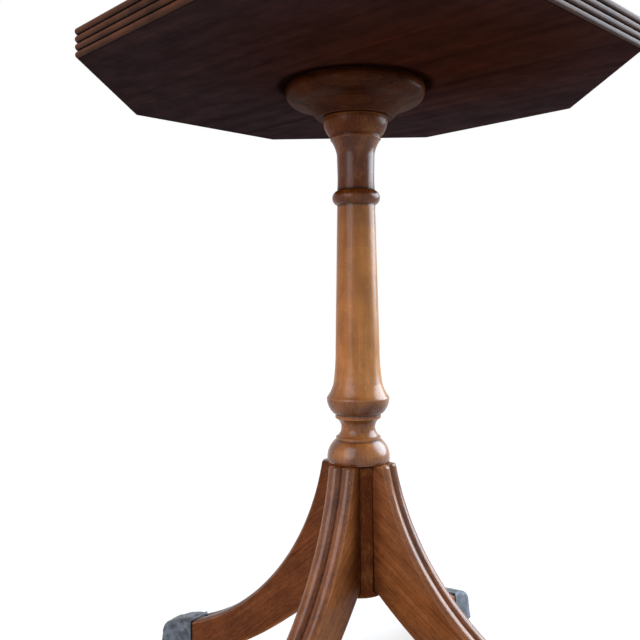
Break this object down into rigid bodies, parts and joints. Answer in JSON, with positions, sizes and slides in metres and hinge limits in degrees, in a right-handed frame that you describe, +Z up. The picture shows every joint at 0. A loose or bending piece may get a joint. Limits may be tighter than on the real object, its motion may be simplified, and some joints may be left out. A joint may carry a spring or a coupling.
{
  "type": "wine table",
  "caption": "Octagonal pedestal wine table: reeded edge to the top, turned boss and column, reeded sabre legs in metal toe caps.",
  "frame": {"origin": "on the floor, under the axis of the pedestal column", "axes": "+Z up the column; two flats of the top face along +X and -X and two along +Y and -Y; the front of the picture is along -Y"},
  "size_m": [0.438, 0.438, 0.58],
  "materials": {
    "top_wood": "dark stained mahogany, satin lacquer above and bare stain below",
    "edge_wood": "stained mahogany, satin lacquer, dark in the reeds' grooves",
    "boss_wood": "turned stained mahogany, satin lacquer",
    "column_wood": "turned stained mahogany, semi-gloss lacquer",
    "leg_wood": "stained mahogany, semi-gloss lacquer, worn on the edges",
    "dowel_wood": "plain hardwood",
    "cap_brass": "dull tarnished cast metal with small dents",
    "screw_steel": "plain steel"
  },
  "bodies": {
    "root": {"top_panel": "top_wood", "edge_lipping_1": "edge_wood", "edge_lipping_2": "edge_wood", "edge_lipping_3": "edge_wood", "edge_lipping_4": "edge_wood", "edge_lipping_5": "edge_wood", "edge_lipping_6": "edge_wood", "edge_lipping_7": "edge_wood", "edge_lipping_8": "edge_wood", "top_boss": "boss_wood", "boss_screws": "screw_steel", "pedestal_column": "column_wood", "leg_dowels": "dowel_wood", "leg_1": "leg_wood", "leg_2": "leg_wood", "leg_3": "leg_wood", "leg_4": "leg_wood", "toe_cap_1": "cap_brass", "toe_cap_2": "cap_brass", "toe_cap_3": "cap_brass", "toe_cap_4": "cap_brass", "toe_cap_screws": "screw_steel"}
  },
  "joints": []
}
